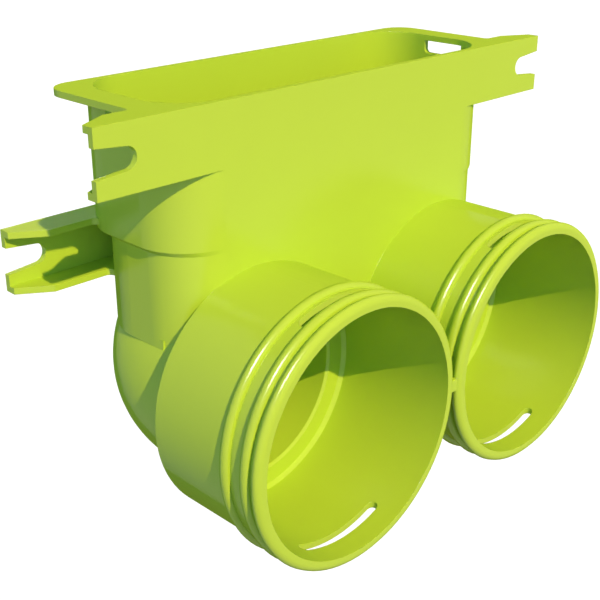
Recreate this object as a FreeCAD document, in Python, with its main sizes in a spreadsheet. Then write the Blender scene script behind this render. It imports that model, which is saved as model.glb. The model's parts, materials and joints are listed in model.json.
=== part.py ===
import FreeCAD, Part
import math
import os
import Sketcher

os.makedirs("parts", exist_ok=True)
doc = FreeCAD.newDocument("DownspoutAdapter")

# Frame: Z up, X along the front plate, Y towards the back.
# The forms are drawn from the rim downwards. The finished part is then lifted so that the
# origin lies on the plate's front face, half way along it and level with its screw slots.

sizes = [
    ("wall", 2.0, "wall thickness of the whole moulding"),
    ("collar_half", 71.5, "half length of the rectangular collar, outside"),
    ("collar_depth", 50.7, "collar from front to back, outside"),
    ("collar_corner", 17.1, "outside corner radius of the collar"),
    ("collar_height", 42.1, "rim down to the step"),
    ("step_size", 1.4, "how far the body steps in under the collar"),
    ("body_front_corner", 16.5, "outside front corner radius of the body"),
    ("body_back_corner", 22.8, "outside back corner radius of the body"),
    ("plate_half", 96.6, "half length of the front plate, out to the lug tips"),
    ("plate_height", 19.25, "height of the front plate and of the lugs"),
    ("lug_tip_width", 4.1, "lug flange width at the tip"),
    ("front_lug_width", 9.4, "lug flange width near the collar, front pair"),
    ("rear_lug_width", 10.5, "lug flange width near the body, rear pair"),
    ("lug_taper", 9.8, "length of the tapered part of a lug flange"),
    ("lug_root", 2.0, "radius where a rear lug flange meets the wall"),
    ("rear_lug_drop", 38.65, "rim down to the top of the rear lugs"),
    ("slot_depth", 13.0, "depth of an open screw slot from the lug tip"),
    ("slot_end_width", 6.4, "screw slot width at its round end"),
    ("slot_mouth_width", 8.5, "screw slot width at the lug tip"),
    ("rim_half", 78.45, "half length out to the edge of the rim flange"),
    ("rim_corner", 8.5, "back corner radius of the rim flange"),
    ("rim_root", 1.4, "radius between rim flange and lug flange"),
    ("window_height", 4.4, "height of the window under the rim flange"),
    ("window_start", 13.7, "front end of the window"),
    ("window_length", 16.6, "length of the window"),
    ("window_corner", 1.5, "lower corner radius of the window"),
    ("socket_spacing", 85.0, "distance between the two socket axes"),
    ("socket_drop", 90.6, "rim down to the socket axes"),
    ("socket_length", 43.45, "depth of a socket from mouth to pipe stop"),
    ("bore_radius", 38.1, "inside radius of a socket"),
    ("bead_height", 1.6, "height of the ribs round a socket"),
    ("first_bead", 27.7, "pipe stop to the first rib"),
    ("bead_pitch", 7.95, "first rib to second rib"),
    ("bead_width", 3.6, "width of a rib at its foot"),
    ("mouth_width", 3.3, "width of the thick ring at the mouth"),
    ("mouth_round", 2.2, "how far the rounded front of the mouth ring drops from its crest"),
    ("clip_slot_start", 32.3, "pipe stop to the clip slot"),
    ("clip_slot_width", 3.6, "width of a clip slot"),
    ("clip_slot_length", 33.0, "length of a clip slot across the socket"),
    ("elbow_radius", 32.6, "outside radius of the elbow under the body"),
    ("elbow_run", 11.6, "straight run of the elbow behind the pipe stop"),
    ("heel_flat_ratio", 0.985, "part of the heel depth at which its flat back begins"),
    ("heel_power", 2.9, "fullness of the heel seen from above"),
    ("stop_edge", 1.2, "bevel between the bore and the pipe stop"),
    ("throat_edge", 0.8, "bevel of the pipe stop's inner edge"),
    ("shoulder_edge", 1.2, "bevel of the socket's back edge"),
    ("tie_height", 4.0, "height of the small tie between the two mouths"),
    ("tie_setback", 0.8, "mouth face back to the front of the tie"),
    ("cut_past", 1.0, "how far a cut runs past the face that it opens"),
]
dim = doc.addObject("Spreadsheet::Sheet", "dim")
for row, (alias, value, note) in enumerate(sizes, 1):
    dim.set("A%d" % row, note)
    dim.set("B%d" % row, str(value))
    dim.setAlias("B%d" % row, alias)
doc.recompute()

# Formulas used in more than one place
bodyHalf = "(dim.collar_half - dim.step_size)"
bodyBack = "(dim.collar_depth - dim.step_size)"
bodyTop = "(-dim.collar_height - dim.step_size)"
axisX = "(dim.socket_spacing / 2)"
axisZ = "(-dim.socket_drop)"
creaseHalf = "(dim.collar_half - dim.step_size - dim.socket_spacing / 2)"
creaseZ = "(-dim.socket_drop + sqrt(pow(dim.elbow_radius; 2) - pow(" + creaseHalf + "; 2)))"
tubeRadius = "(dim.bore_radius + dim.wall)"
lugRootX = "(dim.plate_half - dim.lug_taper)"


def number(formula):
    return float(dim.evalExpression(formula.replace("dim.", "")))


def bind(sketch, kind, *args):
    # a sketch constraint whose value follows a formula
    formula = args[-1]
    index = sketch.addConstraint(Sketcher.Constraint(kind, *args[:-1], number(formula)))
    sketch.setExpression("Constraints[%d]" % index, formula)


def newSketch(body, name, role, offset=None):
    sketch = body.newObject("Sketcher::SketchObject", name)
    plane = [f for f in body.Origin.OriginFeatures if f.Role == role][0]
    sketch.AttachmentSupport = [(plane, "")]
    sketch.MapMode = "FlatFace"
    if offset:
        sketch.setExpression("AttachmentOffset.Base.z", offset)
    return sketch


def point(x, y):
    return FreeCAD.Vector(x, y, 0)


def place(sketch, geo, pos, x, y):
    # puts one end of a line or arc at the formulas x and y
    for kind, formula, axis in (("DistanceX", x, -2), ("DistanceY", y, -1)):
        if number(formula) == 0:
            sketch.addConstraint(Sketcher.Constraint("PointOnObject", geo, pos, axis))
        else:
            bind(sketch, kind, -1, 1, geo, pos, formula)


def outline(sketch, corners):
    # closed outline with straight sides; a corner is x, y and, where it is rounded, its radius
    count = len(corners)
    at = [point(number(c[0]), number(c[1])) for c in corners]
    radii = [number(c[2]) if len(c) > 2 else 0.0 for c in corners]
    begin, end, arcs, ends = [], [], {}, {}
    for i in range(count):
        inward = (at[i - 1] - at[i]).normalize()
        outward = (at[(i + 1) % count] - at[i]).normalize()
        if radii[i] == 0:
            begin.append(at[i])
            end.append(at[i])
            continue
        half = inward.getAngle(outward) / 2
        reach = radii[i] / math.tan(half)
        end.append(at[i] + inward * reach)
        begin.append(at[i] + outward * reach)
        middle = (inward + outward).normalize()
        centre = at[i] + middle * (radii[i] / math.sin(half))
        ring = Part.Circle(centre, FreeCAD.Vector(0, 0, 1), radii[i])
        first, last = [math.atan2(p.y - centre.y, p.x - centre.x) for p in (end[i], begin[i])]
        forward = (end[i] - centre).cross(begin[i] - centre).z > 0
        arcs[i] = Part.ArcOfCircle(ring, first, last) if forward else Part.ArcOfCircle(ring, last, first)
        ends[i] = (1, 2) if forward else (2, 1)
    for i in range(count):
        sketch.addGeometry(Part.LineSegment(begin[i], end[(i + 1) % count]))
    for i, (x, y) in enumerate([c[:2] for c in corners]):
        before = (i - 1) % count
        if i not in arcs:
            sketch.addConstraint(Sketcher.Constraint("Coincident", before, 2, i, 1))
            place(sketch, i, 1, x, y)
            continue
        arc = sketch.addGeometry(arcs[i])
        sketch.addConstraint(Sketcher.Constraint("Tangent", before, 2, arc, ends[i][0]))
        sketch.addConstraint(Sketcher.Constraint("Tangent", arc, ends[i][1], i, 1))
        corner = sketch.addGeometry(Part.Point(at[i]), True)
        sketch.addConstraint(Sketcher.Constraint("PointOnObject", corner, 1, before))
        sketch.addConstraint(Sketcher.Constraint("PointOnObject", corner, 1, i))
        place(sketch, corner, 1, x, y)
        bind(sketch, "Radius", arc, corners[i][2])


def roundedBox(sketch, half, front, back, frontRadius, backRadius):
    # rectangle centred on the Y axis, with its own radius at the front and at the back
    a, y0, y1 = number(half), number(front), number(back)
    rf, rb = number(frontRadius), number(backRadius)
    quarter = math.pi / 2
    sketch.addGeometry(Part.LineSegment(point(-a + rf, y0), point(a - rf, y0)))
    sketch.addGeometry(Part.LineSegment(point(a, y0 + rf), point(a, y1 - rb)))
    sketch.addGeometry(Part.LineSegment(point(a - rb, y1), point(-a + rb, y1)))
    sketch.addGeometry(Part.LineSegment(point(-a, y1 - rb), point(-a, y0 + rf)))
    centres = [
        (a - rf, y0 + rf, rf, 3),
        (a - rb, y1 - rb, rb, 0),
        (-a + rb, y1 - rb, rb, 1),
        (-a + rf, y0 + rf, rf, 2),
    ]
    for x, y, r, turn in centres:
        circle = Part.Circle(point(x, y), FreeCAD.Vector(0, 0, 1), r)
        sketch.addGeometry(Part.ArcOfCircle(circle, turn * quarter, (turn + 1) * quarter))
    for i in range(4):
        sketch.addConstraint(Sketcher.Constraint("Tangent", i, 2, 4 + i, 1))
        sketch.addConstraint(Sketcher.Constraint("Tangent", 4 + i, 2, (i + 1) % 4, 1))
    for i in (0, 2):
        sketch.addConstraint(Sketcher.Constraint("Horizontal", i))
        sketch.addConstraint(Sketcher.Constraint("Vertical", i + 1))
    for i, radius in enumerate((frontRadius, backRadius, backRadius, frontRadius)):
        bind(sketch, "Radius", 4 + i, radius)
    bind(sketch, "DistanceX", -1, 1, 1, 1, half)
    bind(sketch, "DistanceX", -1, 1, 3, 1, "-(" + half + ")")
    if y0 == 0:
        sketch.addConstraint(Sketcher.Constraint("PointOnObject", 0, 1, -1))
    else:
        bind(sketch, "DistanceY", -1, 1, 0, 1, front)
    bind(sketch, "DistanceY", -1, 1, 2, 1, back)


def circle(sketch, x, y, radius):
    middle = point(number(x), number(y))
    geo = sketch.addGeometry(Part.Circle(middle, FreeCAD.Vector(0, 0, 1), number(radius)))
    place(sketch, geo, 3, x, y)
    bind(sketch, "Radius", geo, radius)


def pad(body, name, sketch, length, backwards=False):
    feature = body.newObject("PartDesign::Pad", name)
    feature.Profile = sketch
    feature.setExpression("Length", length)
    feature.Reversed = backwards
    doc.recompute()
    return feature


def loft(body, name, first, second):
    feature = body.newObject("PartDesign::AdditiveLoft", name)
    feature.Profile = first
    feature.Sections = [second]
    feature.Ruled = True
    doc.recompute()
    return feature


def revolve(body, name, sketch):
    feature = body.newObject("PartDesign::Revolution", name)
    feature.Profile = sketch
    feature.ReferenceAxis = (sketch, ["Axis0"])
    feature.Angle = 360
    doc.recompute()
    return feature


def axisLine(sketch, z):
    # construction line along Y that a socket profile turns about
    reach = number("dim.wall")
    geo = sketch.addGeometry(Part.LineSegment(point(-reach, number(z)), point(reach, number(z))), True)
    sketch.addConstraint(Sketcher.Constraint("Horizontal", geo))
    bind(sketch, "DistanceY", -1, 1, geo, 1, z)
    bind(sketch, "DistanceX", -1, 1, geo, 1, "-dim.wall")
    bind(sketch, "DistanceX", -1, 1, geo, 2, "dim.wall")


def mirror(body, name, features):
    feature = body.newObject("PartDesign::Mirrored", name)
    feature.Originals = features
    feature.MirrorPlane = ([f for f in body.Origin.OriginFeatures if f.Role == "YZ_Plane"][0], [""])
    body.Tip = feature
    doc.recompute()
    return feature


# Outer form: collar, step, body, plate with lugs and rim, elbows, sockets
outer = doc.addObject("PartDesign::Body", "outer_form")

collarOutline = newSketch(outer, "collar_outline", "XY_Plane")
roundedBox(collarOutline, "dim.collar_half", "0", "dim.collar_depth",
           "dim.collar_corner", "dim.collar_corner")
pad(outer, "collar", collarOutline, "dim.collar_height", True)

stepUpper = newSketch(outer, "step_upper", "XY_Plane", "-dim.collar_height")
roundedBox(stepUpper, "dim.collar_half", "0", "dim.collar_depth", "dim.collar_corner", "dim.collar_corner")
stepLower = newSketch(outer, "step_lower", "XY_Plane", bodyTop)
roundedBox(stepLower, bodyHalf, "0", bodyBack, "dim.body_front_corner", "dim.body_back_corner")
loft(outer, "step", stepUpper, stepLower)

bodyOutline = newSketch(outer, "body_outline", "XY_Plane", bodyTop)
roundedBox(bodyOutline, bodyHalf, "0", bodyBack, "dim.body_front_corner", "dim.body_back_corner")
pad(outer, "lower_body", bodyOutline, bodyTop + " - " + creaseZ, True)

plateOutline = newSketch(outer, "plate_outline", "XZ_Plane")
outline(plateOutline, [
    ("-dim.plate_half", "-dim.plate_height"),
    ("dim.plate_half", "-dim.plate_height"),
    ("dim.plate_half", "0"),
    ("-dim.plate_half", "0"),
])
pad(outer, "plate", plateOutline, "dim.wall", True)

# Rim flange and top flange of a front lug share one level
rimOutline = newSketch(outer, "rim_outline", "XY_Plane")
outline(rimOutline, [
    ("dim.collar_half - dim.collar_corner", "0"),
    ("dim.plate_half", "0"),
    ("dim.plate_half", "dim.lug_tip_width"),
    (lugRootX, "dim.front_lug_width"),
    ("dim.rim_half", "dim.front_lug_width", "dim.rim_root"),
    ("dim.rim_half", "dim.collar_depth", "dim.rim_corner"),
    ("dim.collar_half - dim.collar_corner", "dim.collar_depth"),
])
rimFlange = pad(outer, "rim_flange", rimOutline, "dim.wall", True)

lugFootOutline = newSketch(outer, "lug_foot_outline", "XY_Plane", "-dim.plate_height + dim.wall")
outline(lugFootOutline, [
    ("dim.collar_half - dim.collar_corner", "0"),
    ("dim.plate_half", "0"),
    ("dim.plate_half", "dim.lug_tip_width"),
    (lugRootX, "dim.front_lug_width"),
    ("dim.collar_half - dim.wall", "dim.front_lug_width"),
])
lugFoot = pad(outer, "lug_foot", lugFootOutline, "dim.wall", True)

# Rear lug: web at the back, flanges towards the front
rearWebOutline = newSketch(outer, "rear_web_outline", "XZ_Plane", "-dim.collar_depth + dim.wall")
outline(rearWebOutline, [
    ("dim.collar_half - dim.collar_corner", "-dim.rear_lug_drop - dim.plate_height"),
    ("dim.plate_half", "-dim.rear_lug_drop - dim.plate_height"),
    ("dim.plate_half", "-dim.rear_lug_drop"),
    ("dim.collar_half - dim.collar_corner", "-dim.rear_lug_drop"),
])
rearWeb = pad(outer, "rear_web", rearWebOutline, "dim.wall", True)
rearFlanges = []
flangeFront = "(dim.collar_depth - dim.rear_lug_width)"
collarCentre = "(dim.collar_depth - dim.collar_corner)"
bodyCentre = "(" + bodyBack + " - dim.body_back_corner)"
footLevel = "-dim.rear_lug_drop - dim.plate_height + dim.wall"
for name, level, half, corner, centre in (
        ("rear_top", "-dim.rear_lug_drop", "dim.collar_half", "dim.collar_corner", collarCentre),
        ("rear_foot", footLevel, bodyHalf, "dim.body_back_corner", bodyCentre)):
    # the wall curves away behind the flange, so its place is taken where the root radius begins
    behind = "max(0; " + flangeFront + " - dim.lug_root - " + centre + ")"
    wallX = half + " - " + corner + " + sqrt(pow(" + corner + "; 2) - pow(" + behind + "; 2))"
    flange = newSketch(outer, name + "_outline", "XY_Plane", level)
    outline(flange, [
        ("dim.plate_half", "dim.collar_depth"),
        ("dim.collar_half - dim.collar_corner", "dim.collar_depth"),
        ("dim.collar_half - dim.collar_corner", flangeFront + " - 1.5 * dim.lug_root"),
        (wallX, flangeFront + " - 1.5 * dim.lug_root"),
        (wallX, flangeFront, "dim.lug_root"),
        (lugRootX, flangeFront),
        ("dim.plate_half", "dim.collar_depth - dim.lug_tip_width"),
    ])
    rearFlanges.append(pad(outer, name, flange, "dim.wall", True))

elbowOutline = newSketch(outer, "elbow_outline", "XZ_Plane")
circle(elbowOutline, axisX, axisZ, "dim.elbow_radius")
elbowRun = pad(outer, "elbow_run", elbowOutline, "dim.elbow_run", True)


def quarter(foot, crest, strokes):
    # corners between foot and crest on a quarter ellipse, steep at the foot and level at the crest
    corners = []
    for i in range(1, strokes):
        angle = math.pi / 2 * i / strokes
        shares = (1 - math.cos(angle), math.sin(angle))
        corners.append(tuple("(%s) + %.6f * ((%s) - (%s))" % (low, share, high, low)
                             for low, high, share in zip(foot, crest, shares)))
    return corners


def arch(foot, crest, otherFoot, strokes, otherStrokes):
    # outline of a rounded rib, up from one foot over the crest and down to the other
    rising = [foot] + quarter(foot, crest, strokes)
    falling = quarter(otherFoot, crest, otherStrokes)[::-1] + [otherFoot]
    return rising + [crest] + falling


# Socket with two rounded ribs and a thick mouth ring, turned about its axis
socketProfile = newSketch(outer, "socket_profile", "YZ_Plane", axisX)
tube = axisZ + " + " + tubeRadius
ribTop = tube + " + dim.bead_height"
ribs = []
for start in ("-dim.first_bead", "-dim.first_bead - dim.bead_pitch"):
    crest = (start + " - dim.bead_width / 2", ribTop)
    ribs += arch((start, tube), crest, (start + " - dim.bead_width", tube), 2, 2)
mouth = arch(
    ("-dim.socket_length + dim.mouth_width", tube),
    ("-dim.socket_length + dim.mouth_width / 2", ribTop),
    ("-dim.socket_length", ribTop + " - dim.mouth_round"),
    2, 3)
outline(socketProfile, [
    ("dim.wall", axisZ),
    ("dim.wall", tube + " - dim.shoulder_edge"),
    ("dim.wall - dim.shoulder_edge", tube),
] + ribs + mouth + [("-dim.socket_length", axisZ)])
axisLine(socketProfile, axisZ)
socket = revolve(outer, "socket", socketProfile)

mirror(outer, "other_end", [rimFlange, lugFoot, rearWeb] + rearFlanges + [elbowRun, socket])

tieOutline = newSketch(outer, "tie_outline", "XZ_Plane", "dim.socket_length - dim.tie_setback")
tieReach = axisX + " - " + tubeRadius + " + dim.wall / 2"
outline(tieOutline, [
    ("-(" + tieReach + ")", axisZ + " - dim.tie_height / 2"),
    (tieReach, axisZ + " - dim.tie_height / 2"),
    (tieReach, axisZ + " + dim.tie_height / 2"),
    ("-(" + tieReach + ")", axisZ + " + dim.tie_height / 2"),
])
pad(outer, "tie", tieOutline, "dim.mouth_width - dim.tie_setback", True)


# Heel: the rounded back of an elbow. Seen from the front it is the elbow's circle, seen from the
# side a quarter ellipse, seen from above a full corner that carries on the corner of the body.
# Each section is closed above the crease by a short block that reaches up into the body.
def heelSection(y, radius, halfAtCrease, run, reach, power, centreX, centreZ):
    crease = centreZ + math.sqrt(radius ** 2 - halfAtCrease ** 2)
    drop = crease - (centreZ - radius)
    share = (y - run) / reach
    low = drop * math.sqrt(1 - share ** 2)
    steps = 6
    curve = []
    for i in range(steps + 1):
        # even steps of angle round the section, closest together at the bottom
        depth = low * math.sin(math.pi / 2 * i / steps)
        z = crease - depth
        width = math.sqrt(max(0.0, radius ** 2 - (z - centreZ) ** 2))
        here = reach * math.sqrt(max(0.0, 1 - (depth / drop) ** 2))
        full = 1 - ((y - run) / here) ** power if here > 0 else 0.0
        curve.append((width * max(0.0, full) ** (1 / power), z))
    curve[-1] = (0.0, crease - low)
    right = [FreeCAD.Vector(centreX + x, y, z) for x, z in curve]
    left = [FreeCAD.Vector(centreX - x, y, z) for x, z in reversed(curve[:-1])]
    if share == 0:
        under = Part.Arc(right[0], right[-1], left[-1])
    else:
        under = Part.BSplineCurve()
        under.interpolate(right + left)
    lean = 0.15 * number("dim.wall")
    rise = 1.5 * number("dim.wall")
    upRight = right[0] + FreeCAD.Vector(-lean, 0, rise)
    upLeft = left[-1] + FreeCAD.Vector(lean, 0, rise)
    return Part.Wire([
        under.toShape(),
        Part.makeLine(left[-1], upLeft),
        Part.makeLine(upLeft, upRight),
        Part.makeLine(upRight, right[0]),
    ])


def heelSolid(inset, side, cuts, straight):
    radius = number("dim.elbow_radius") - inset
    half = number(bodyHalf + " - " + axisX) - inset
    run = number("dim.elbow_run")
    back = number(bodyBack) - inset
    flat = number("dim.heel_flat_ratio")
    reach = (back - run) / flat
    last = math.asin(flat)
    wires = []
    for i in range(cuts + 1):
        y = run + reach * math.sin(last * i / cuts)
        wires.append(heelSection(y, radius, half, run, reach, number("dim.heel_power"),
                                 side * number(axisX), number(axisZ)))
    return Part.makeLoft(wires, True, straight)


# The outside is one smooth face through five sections, the inside ten straight strips
heels = []
hollows = []
for side, name in ((-1, "left"), (1, "right")):
    heel = doc.addObject("Part::Feature", "heel_" + name)
    heel.Shape = heelSolid(0, side, 4, False)
    heels.append(heel)
    room = doc.addObject("Part::Feature", "heel_hollow_" + name)
    room.Shape = heelSolid(number("dim.wall"), side, 10, True)
    hollows.append(room)

# Hollow: collar and body inside, elbows inside, bores, windows and slots
hollow = doc.addObject("PartDesign::Body", "hollow_form")
innerBack = bodyBack + " - dim.wall"

collarInside = newSketch(hollow, "collar_inside", "XY_Plane", "dim.cut_past")
roundedBox(collarInside, "dim.collar_half - dim.wall", "dim.wall", "dim.collar_depth - dim.wall",
           "dim.collar_corner - dim.wall", "dim.collar_corner - dim.wall")
pad(hollow, "collar_room", collarInside, "dim.collar_height + dim.cut_past", True)
innerUpper = newSketch(hollow, "inner_step_upper", "XY_Plane", "-dim.collar_height")
roundedBox(innerUpper, "dim.collar_half - dim.wall", "dim.wall", "dim.collar_depth - dim.wall",
           "dim.collar_corner - dim.wall", "dim.collar_corner - dim.wall")
innerLower = newSketch(hollow, "inner_step_lower", "XY_Plane", bodyTop)
roundedBox(innerLower, bodyHalf + " - dim.wall", "dim.wall", innerBack,
           "dim.body_front_corner - dim.wall", "dim.body_back_corner - dim.wall")
loft(hollow, "inner_step", innerUpper, innerLower)
bodyInside = newSketch(hollow, "body_inside", "XY_Plane", bodyTop)
roundedBox(bodyInside, bodyHalf + " - dim.wall", "dim.wall", innerBack,
           "dim.body_front_corner - dim.wall", "dim.body_back_corner - dim.wall")
pad(hollow, "body_room", bodyInside, bodyTop + " - " + creaseZ + " - dim.wall", True)

elbowInside = newSketch(hollow, "elbow_inside", "XZ_Plane")
circle(elbowInside, axisX, axisZ, "dim.elbow_radius - dim.wall")
elbowRoom = pad(hollow, "elbow_room", elbowInside, "dim.elbow_run", True)

boreProfile = newSketch(hollow, "bore_profile", "YZ_Plane", axisX)
throat = axisZ + " + dim.elbow_radius - dim.wall"
outline(boreProfile, [
    ("-dim.socket_length - dim.cut_past", axisZ),
    ("-dim.socket_length - dim.cut_past", axisZ + " + dim.bore_radius"),
    ("-dim.stop_edge", axisZ + " + dim.bore_radius"),
    ("0", axisZ + " + dim.bore_radius - dim.stop_edge"),
    ("0", throat + " + dim.throat_edge"),
    ("dim.throat_edge", throat),
    ("dim.elbow_run / 2", throat),
    ("dim.elbow_run / 2", axisZ),
])
axisLine(boreProfile, axisZ)
bore = revolve(hollow, "bore", boreProfile)

window = newSketch(hollow, "window_outline", "YZ_Plane", "dim.collar_half - dim.wall - dim.cut_past")
windowEnd = "dim.window_start + dim.window_length"
windowLow = "-dim.wall - dim.window_height"
outline(window, [
    ("dim.window_start", "-dim.wall"),
    ("dim.window_start", windowLow, "dim.window_corner"),
    (windowEnd, windowLow, "dim.window_corner"),
    (windowEnd, "-dim.wall"),
])
windowCut = pad(hollow, "window", window, "dim.wall + 2 * dim.cut_past")


def screwSlot(name, level, offset):
    # open at the lug tip, round at its inner end, a little wider at the mouth
    sketch = newSketch(hollow, name + "_outline", "XZ_Plane", offset)
    tip = number("dim.plate_half + dim.cut_past")
    z = number(level)
    r = number("dim.slot_end_width / 2")
    mouth = number("dim.slot_mouth_width / 2")
    centre = number("dim.plate_half - dim.slot_depth + dim.slot_end_width / 2")
    lean = math.asin((mouth - r) / (tip - centre))
    x = centre - r * math.sin(lean)
    rise = r * math.cos(lean)
    sketch.addGeometry(Part.LineSegment(point(tip, z + mouth), point(x, z + rise)))
    ring = Part.Circle(point(centre, z), FreeCAD.Vector(0, 0, 1), r)
    sketch.addGeometry(Part.ArcOfCircle(ring, math.pi / 2 + lean, 1.5 * math.pi - lean))
    sketch.addGeometry(Part.LineSegment(point(x, z - rise), point(tip, z - mouth)))
    sketch.addGeometry(Part.LineSegment(point(tip, z - mouth), point(tip, z + mouth)))
    sketch.addConstraint(Sketcher.Constraint("Tangent", 0, 2, 1, 1))
    sketch.addConstraint(Sketcher.Constraint("Tangent", 1, 2, 2, 1))
    sketch.addConstraint(Sketcher.Constraint("Coincident", 2, 2, 3, 1))
    sketch.addConstraint(Sketcher.Constraint("Coincident", 3, 2, 0, 1))
    sketch.addConstraint(Sketcher.Constraint("Vertical", 3))
    place(sketch, 1, 3, "dim.plate_half - dim.slot_depth + dim.slot_end_width / 2", level)
    bind(sketch, "Radius", 1, "dim.slot_end_width / 2")
    place(sketch, 0, 1, "dim.plate_half + dim.cut_past", level + " + dim.slot_mouth_width / 2")
    bind(sketch, "DistanceY", -1, 1, 2, 2, level + " - dim.slot_mouth_width / 2")
    return pad(hollow, name, sketch, "dim.wall + 2 * dim.cut_past", True)


frontSlot = screwSlot("front_slot", "-dim.plate_height / 2", "dim.cut_past")
rearSlot = screwSlot("rear_slot", "-dim.rear_lug_drop - dim.plate_height / 2",
                     "-dim.collar_depth + dim.wall + dim.cut_past")

clipReach = "(dim.bore_radius + dim.wall + dim.bead_height + dim.cut_past)"
clipOutline = newSketch(hollow, "clip_outline", "XY_Plane", axisZ + " - " + clipReach)
clipY = "-dim.clip_slot_start - dim.clip_slot_width / 2"
clipHalf = "(dim.clip_slot_length / 2 - dim.clip_slot_width / 2)"
clipRound = number("dim.clip_slot_width / 2")
for side in (1, -1):
    middle = point(number(axisX) + side * number(clipHalf), number(clipY))
    ring = Part.Circle(middle, FreeCAD.Vector(0, 0, 1), clipRound)
    clipOutline.addGeometry(Part.ArcOfCircle(ring, -side * math.pi / 2, (2 - side) * math.pi / 2))
for side in (1, -1):
    start = point(number(axisX) + side * number(clipHalf), number(clipY) + side * clipRound)
    finish = point(number(axisX) - side * number(clipHalf), number(clipY) + side * clipRound)
    clipOutline.addGeometry(Part.LineSegment(start, finish))
for first, second in ((0, 2), (2, 1), (1, 3), (3, 0)):
    clipOutline.addConstraint(Sketcher.Constraint("Tangent", first, 2, second, 1))
for arc, side in ((0, " + "), (1, " - ")):
    place(clipOutline, arc, 3, axisX + side + clipHalf, clipY)
    bind(clipOutline, "Radius", arc, "dim.clip_slot_width / 2")
clip = pad(hollow, "clip_slots", clipOutline, "2 * " + clipReach)

mirror(hollow, "other_hollow", [elbowRoom, bore, windowCut, frontSlot, rearSlot, clip])

solidForm = doc.addObject("Part::MultiFuse", "solid_form")
solidForm.Shapes = [outer] + heels
roomForm = doc.addObject("Part::MultiFuse", "room_form")
roomForm.Shapes = [hollow] + hollows
doc.recompute()
adapter = doc.addObject("Part::Cut", "adapter_body")
adapter.Label = "adapter_body"
adapter.Base = solidForm
adapter.Tool = roomForm
adapter.setExpression("Placement.Base.z", "dim.plate_height / 2")
doc.recompute()

for item in doc.Objects:
    if {"Invalid", "Error"} & set(item.State):
        raise ValueError(item.Name + " did not build")
shape = adapter.Shape
if shape.isNull() or not shape.isValid() or len(shape.Solids) != 1:
    raise ValueError("adapter_body has no single valid solid")
solid = shape.Solids[0]
solid.exportStep("parts/adapter_body.step")
box = solid.BoundBox
print("adapter_body", round(solid.Volume), "mm3", round(solid.Area), "mm2")
print("size", round(box.XLength, 2), round(box.YLength, 2), round(box.ZLength, 2))
print("centre of mass", solid.CenterOfMass)
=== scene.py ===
import json
import math

import bpy
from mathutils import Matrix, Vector


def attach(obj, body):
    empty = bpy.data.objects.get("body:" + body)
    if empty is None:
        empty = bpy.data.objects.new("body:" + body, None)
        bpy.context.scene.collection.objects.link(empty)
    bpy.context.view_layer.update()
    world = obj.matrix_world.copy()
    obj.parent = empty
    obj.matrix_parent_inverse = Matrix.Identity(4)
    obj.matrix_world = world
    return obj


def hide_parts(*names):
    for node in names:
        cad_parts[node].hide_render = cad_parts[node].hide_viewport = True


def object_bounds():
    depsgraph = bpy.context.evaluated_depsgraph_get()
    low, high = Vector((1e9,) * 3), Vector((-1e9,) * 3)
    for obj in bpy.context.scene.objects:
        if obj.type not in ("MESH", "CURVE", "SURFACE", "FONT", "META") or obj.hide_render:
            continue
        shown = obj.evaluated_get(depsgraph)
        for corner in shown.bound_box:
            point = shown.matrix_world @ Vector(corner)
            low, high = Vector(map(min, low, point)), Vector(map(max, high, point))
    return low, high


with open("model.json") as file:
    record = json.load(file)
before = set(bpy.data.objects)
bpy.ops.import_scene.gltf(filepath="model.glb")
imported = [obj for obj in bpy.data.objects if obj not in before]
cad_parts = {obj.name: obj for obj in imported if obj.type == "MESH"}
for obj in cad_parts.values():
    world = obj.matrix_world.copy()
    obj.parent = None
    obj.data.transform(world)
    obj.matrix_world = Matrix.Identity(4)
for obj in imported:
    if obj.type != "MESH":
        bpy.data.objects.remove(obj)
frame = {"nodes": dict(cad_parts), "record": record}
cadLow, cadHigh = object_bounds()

print("frame loaded")

# the moulding as it shows: the solid's own form, with its ribs and mouth rings shaded round
# sizes in metres; the sockets' axes, their bore and their mouths come from the frame
moulding = {
    "mergeGap": 1e-6,                        # points nearer than this are the same
    "socketWall": 0.002,
    "ribHeight": 0.0016,                     # the mouth ring stands as high
    "ribHalf": 0.0018,                       # half the width along the socket
    "ribsBehind": (0.01395, 0.0060),         # from the mouth back to the middle of each rib
    "mouthHalf": 0.00165,
    "mouthRound": 0.0022,                    # how far the front of the mouth ring drops from its crest
    "plainSkin": 0.0001,                     # what stands out less than this is the plain tube
    "ringSlack": 0.01,                       # share of its size by which a point may miss a ring
    "leastMatch": 0.75,                      # cosine between a strip and the round form it stands for
    "flatFront": 0.999,                      # cosine from which a face is a mouth's flat front
}
sockets = {mount["name"]: mount for mount in frame["record"]["mounts"] if mount["kind"] == "bore"}
tubeRadius = sockets["socket_left"]["dims"]["r_mm"] / 1000 + moulding["socketWall"]
crestRadius = tubeRadius + moulding["ribHeight"]


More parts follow.
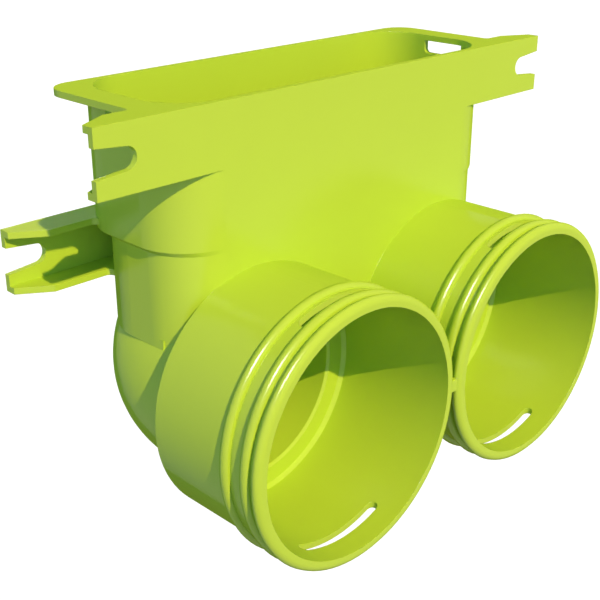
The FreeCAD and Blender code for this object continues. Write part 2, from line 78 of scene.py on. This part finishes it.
def makeMoulding():
    source = frame["nodes"]["adapter_body"]
    bpy.ops.object.select_all(action="DESELECT")
    shell = bpy.data.objects.new("adapterShell", source.data.copy())
    bpy.context.scene.collection.objects.link(shell)
    shell.select_set(True)
    bpy.context.view_layer.objects.active = shell
    bpy.ops.object.mode_set(mode="EDIT")
    bpy.ops.mesh.select_mode(type="EDGE")
    bpy.ops.mesh.select_all(action="DESELECT")
    bpy.ops.mesh.select_non_manifold(
        extend=False, use_wire=False, use_boundary=True,
        use_multi_face=False, use_non_contiguous=False, use_verts=False)
    bpy.ops.mesh.mark_sharp()                # the outlines of the solid's faces keep their own shading
    bpy.ops.mesh.select_all(action="SELECT")
    bpy.ops.mesh.remove_doubles(threshold=moulding["mergeGap"])
    bpy.ops.mesh.select_all(action="DESELECT")
    bpy.ops.object.mode_set(mode="OBJECT")
    roundRibs(shell.data)
    shell.data.materials.clear()
    shell.data.materials.append(makePlastic())
    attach(shell, "root")
    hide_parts("adapter_body")
    print("moulding made,", len(shell.data.polygons), "faces")


def roundRibs(mesh):
    # the straight strips of the rings take the normals of the ellipse they stand for; no point moves
    mouth = cadLow.y
    rings = [                                # middle, half the width, drop in front of the crest
        (mouth + behind, moulding["ribHalf"], moulding["ribHeight"])
        for behind in moulding["ribsBehind"]
    ]
    mouthMiddle = mouth + moulding["mouthHalf"]
    rings.append((mouthMiddle, moulding["mouthHalf"], moulding["mouthRound"]))
    ribsEnd = mouth + moulding["ribsBehind"][0] + moulding["ribHalf"]
    ringLow = crestRadius - moulding["mouthRound"]
    normals = [Vector(corner.vector) for corner in mesh.corner_normals]
    changed = 0
    for face in mesh.polygons:
        reach = fromAxis(face.center).length
        if reach < ringLow or face.center.y > ribsEnd or face.normal.y < -moulding["flatFront"]:
            continue
        if reach < tubeRadius + moulding["plainSkin"] and face.center.y > mouthMiddle:
            continue
        for loop in face.loop_indices:
            point = mesh.vertices[mesh.loops[loop].vertex_index].co
            normal = ringNormal(point, face.normal, rings)
            if normal:
                normals[loop] = normal
                changed += 1
    mesh.normals_split_custom_set(normals)
    print("ribs rounded,", changed, "corners")


def fromAxis(point):
    # from the axis of the socket on that side straight out to the point
    side = "socket_left" if point.x < 0 else "socket_right"
    axis = sockets[side]["pos_m"]
    return Vector((point.x - axis[0], 0, point.z - axis[2]))


def ringNormal(point, faceNormal, rings):
    # the way a round ring faces at the point, or None away from the rings
    out = fromAxis(point)
    reach = out.length
    out.normalize()
    for middle, half, frontDrop in rings:
        along = (point.y - middle) / half    # -1 to 1 across the ring
        if abs(along) > 1 + moulding["ringSlack"]:
            continue
        inFront = faceNormal.y < 0 and point.y < middle + moulding["mergeGap"]
        height = frontDrop if inFront else moulding["ribHeight"]
        up = (reach - (crestRadius - height)) / height     # 0 at the ring's foot, 1 on its crest
        if up < -moulding["ringSlack"]:
            continue
        normal = (out * (max(up, 0.0) / height) + Vector((0, along / half, 0))).normalized()
        if normal.dot(faceNormal) > moulding["leastMatch"]:
            return normal


# glossy plastic, dyed through; each noise is its waves in a metre and its detail
plastic = {
    "colour": (0.43, 0.62, 0.054),
    "tintDrift": 0.04,                       # share by which uneven pigment shifts the colour
    "tintNoise": (18.0, 3.0),
    "roughness": 0.23,
    "glossDrift": 0.03,                      # the tool's polish is a little uneven
    "glossNoise": (90.0, 5.0),
    "refraction": 1.49,
    "sheenLevel": 0.42,                      # how much the skin reflects where it is faced
    "sheenAside": 0.0,                       # and at a glancing angle, where its fine grain dulls it
    "sheenEnd": 0.7,                         # how far it is turned by then, 1 is edge on
    "grainNoise": (1400.0, 2.0),             # fine grain of the tool's surface
    "grainStrength": 0.06,
    "grainHeight": 0.0001,                   # metres
    "edgeRound": 0.0002,                     # metres, edges as the mould leaves them
    "edgeSamples": 6,
}


def makePlastic():
    material = bpy.data.materials.new("greenPlastic")
    material.use_nodes = True
    nodes, links = material.node_tree.nodes, material.node_tree.links
    shader = nodes["Principled BSDF"]
    shader.inputs["IOR"].default_value = plastic["refraction"]

    # the plain values of the sockets linked below, for where an export drops a link
    shader.inputs["Base Color"].default_value = (*plastic["colour"], 1.0)
    shader.inputs["Roughness"].default_value = plastic["roughness"]
    shader.inputs["Specular IOR Level"].default_value = plastic["sheenLevel"]

    turned = nodes.new("ShaderNodeLayerWeight")
    sheen = addRange(nodes, links, turned.outputs["Facing"], plastic["sheenLevel"], plastic["sheenAside"])
    sheen.inputs["From Max"].default_value = plastic["sheenEnd"]
    links.new(sheen.outputs["Result"], shader.inputs["Specular IOR Level"])

    tint = nodes.new("ShaderNodeMix")
    tint.data_type = "RGBA"
    pale = [c * (1 - plastic["tintDrift"]) for c in plastic["colour"]]
    full = [c * (1 + plastic["tintDrift"]) for c in plastic["colour"]]
    tint.inputs["A"].default_value = (*pale, 1.0)
    tint.inputs["B"].default_value = (*full, 1.0)
    links.new(addNoise(nodes, links, *plastic["tintNoise"]), tint.inputs["Factor"])
    links.new(tint.outputs["Result"], shader.inputs["Base Color"])

    wear = addNoise(nodes, links, *plastic["glossNoise"])
    shiny = plastic["roughness"] - plastic["glossDrift"]
    dull = plastic["roughness"] + plastic["glossDrift"]
    links.new(addRange(nodes, links, wear, shiny, dull).outputs["Result"], shader.inputs["Roughness"])

    rounded = nodes.new("ShaderNodeBevel")
    rounded.samples = plastic["edgeSamples"]
    rounded.inputs["Radius"].default_value = plastic["edgeRound"]
    grain = nodes.new("ShaderNodeBump")
    grain.inputs["Strength"].default_value = plastic["grainStrength"]
    grain.inputs["Distance"].default_value = plastic["grainHeight"]
    links.new(addNoise(nodes, links, *plastic["grainNoise"]), grain.inputs["Height"])
    links.new(rounded.outputs["Normal"], grain.inputs["Normal"])
    links.new(grain.outputs["Normal"], shader.inputs["Normal"])
    return material


def addNoise(nodes, links, scale, detail):
    where = nodes.new("ShaderNodeTexCoord")
    noise = nodes.new("ShaderNodeTexNoise")
    noise.inputs["Scale"].default_value = scale
    noise.inputs["Detail"].default_value = detail
    links.new(where.outputs["Object"], noise.inputs["Vector"])
    return noise.outputs["Fac"]


def addRange(nodes, links, value, start, end):
    # 0 becomes start, 1 becomes end, and what lies between goes evenly
    span = nodes.new("ShaderNodeMapRange")
    span.inputs["To Min"].default_value = start
    span.inputs["To Max"].default_value = end
    links.new(value, span.inputs["Value"])
    return span


# pale floor, well below the part because the part hangs from its plate
ground = {
    "drop": 1.0,                             # metres under the part's lowest edge
    "size": 40.0,
    "colour": (0.16, 0.16, 0.16),
    "roughness": 0.8,
    "whiteness": 0.90,                       # for the camera alone: the floor ends in the white backdrop
}


def makeGround():
    bpy.ops.object.select_all(action="DESELECT")
    bpy.ops.mesh.primitive_plane_add(size=ground["size"], location=(0, 0, cadLow.z - ground["drop"]))
    floor = bpy.context.object
    floor.name = "floor"
    bpy.ops.object.transform_apply(location=True, rotation=True, scale=True)
    material = bpy.data.materials.new("paleFloor")
    material.use_nodes = True
    nodes, links = material.node_tree.nodes, material.node_tree.links
    shader = nodes["Principled BSDF"]
    shader.inputs["Base Color"].default_value = (*ground["colour"], 1.0)
    shader.inputs["Roughness"].default_value = ground["roughness"]
    shader.inputs["Emission Color"].default_value = (1.0, 1.0, 1.0, 1.0)
    scale = nodes.new("ShaderNodeMath")
    scale.operation = "MULTIPLY"
    scale.inputs[1].default_value = ground["whiteness"]
    links.new(seenDirectly(nodes, links), scale.inputs[0])
    links.new(scale.outputs["Value"], shader.inputs["Emission Strength"])
    floor.data.materials.append(material)


def seenDirectly(nodes, links):
    # 1 for what the camera sees, also in a gloss or through a clear piece
    path = nodes.new("ShaderNodeLightPath")
    seen = path.outputs["Is Camera Ray"]
    for ray in ("Is Glossy Ray", "Is Transmission Ray"):
        either = nodes.new("ShaderNodeMath")
        either.operation = "MAXIMUM"
        links.new(seen, either.inputs[0])
        links.new(path.outputs[ray], either.inputs[1])
        seen = either.outputs["Value"]
    return seen


# studio light and a white backdrop: a key over the camera's right shoulder, a panel that only the
# gloss shows, a weak lamp behind the part, and a ring of soft panels round it with none overhead
studio = {
    "keyTravel": (0.176, 0.740, -0.650),     # the way the light goes
    "keyStrength": 4.15,
    "keyWidth": 0.6,                         # degrees, small for crisp shadows on the moulding
    "keyColour": (1.0, 0.735, 0.31),
    "panelTravel": (0.58, 0.32, -0.75),      # from high over the camera, for the bright lines on the ribs
    "panelStrength": 6.5,
    "panelWidth": 22.0,
    "panelColour": (1.0, 1.0, 1.0),
    "backTravel": (-0.50, -0.86, 0.0),       # level, so it shapes only the sides the photograph hides
    "backStrength": 1.2,
    "backWidth": 20.0,
    "backColour": (1.0, 0.95, 0.80),
    "ringStrength": 0.95,
    "ringColour": (0.42, 0.70, 1.0),
    "backdrop": (1.0, 1.0, 1.0),
}


def makeStudio():
    world = bpy.data.worlds.new("studio")
    bpy.context.scene.world = world
    world.use_nodes = True
    nodes, links = world.node_tree.nodes, world.node_tree.links
    fill = nodes["Background"]
    fill.inputs["Color"].default_value = (*studio["ringColour"], 1.0)
    where = nodes.new("ShaderNodeTexCoord")
    parts = nodes.new("ShaderNodeSeparateXYZ")
    links.new(where.outputs["Generated"], parts.inputs["Vector"])
    climb = nodes.new("ShaderNodeMath")      # squared: 0 at the horizon, 1 overhead and underfoot
    climb.operation = "POWER"
    climb.inputs[1].default_value = 2.0
    links.new(parts.outputs["Z"], climb.inputs[0])
    ring = addRange(nodes, links, climb.outputs["Value"], studio["ringStrength"], 0.0)
    links.new(ring.outputs["Result"], fill.inputs["Strength"])
    backdrop = nodes.new("ShaderNodeBackground")
    backdrop.inputs["Color"].default_value = (*studio["backdrop"], 1.0)
    choose = nodes.new("ShaderNodeMixShader")
    links.new(seenDirectly(nodes, links), choose.inputs["Fac"])
    links.new(fill.outputs["Background"], choose.inputs[1])
    links.new(backdrop.outputs["Background"], choose.inputs[2])
    links.new(choose.outputs["Shader"], nodes["World Output"].inputs["Surface"])
    makeLamp("key").visible_glossy = False
    makeLamp("panel").visible_diffuse = False
    makeLamp("back")
    bpy.context.scene.view_settings.view_transform = "Standard"


def makeLamp(name):
    light = bpy.data.lights.new(name, "SUN")
    light.energy = studio[name + "Strength"]
    light.angle = math.radians(studio[name + "Width"])
    light.color = studio[name + "Colour"]
    lamp = bpy.data.objects.new(name, light)
    bpy.context.scene.collection.objects.link(lamp)
    lamp.rotation_euler = Vector(studio[name + "Travel"]).to_track_quat("-Z", "Y").to_euler()
    return lamp


# the photograph's camera, fitted to the edges of the moulding
camera = {
    "place": (-0.2410, -0.2161, 0.0728),
    "heading": 44.99,                        # degrees from +Y towards +X
    "dip": 23.09,                            # degrees below the level
    "lens": 63.98,                           # millimetres
    "sensor": 36.0,
    "nearest": 0.005,                        # metres
    "farthest": 50.0,
}


def makeCamera():
    data = bpy.data.cameras.new("camera")
    data.lens = camera["lens"]
    data.sensor_width = camera["sensor"]
    data.clip_start = camera["nearest"]
    data.clip_end = camera["farthest"]
    eye = bpy.data.objects.new("camera", data)
    bpy.context.scene.collection.objects.link(eye)
    eye.location = camera["place"]
    eye.rotation_euler = (math.radians(90 - camera["dip"]), 0, math.radians(-camera["heading"]))
    bpy.context.scene.camera = eye


makeMoulding()
makeGround()
makeStudio()
makeCamera()
print("floor, light and camera made")
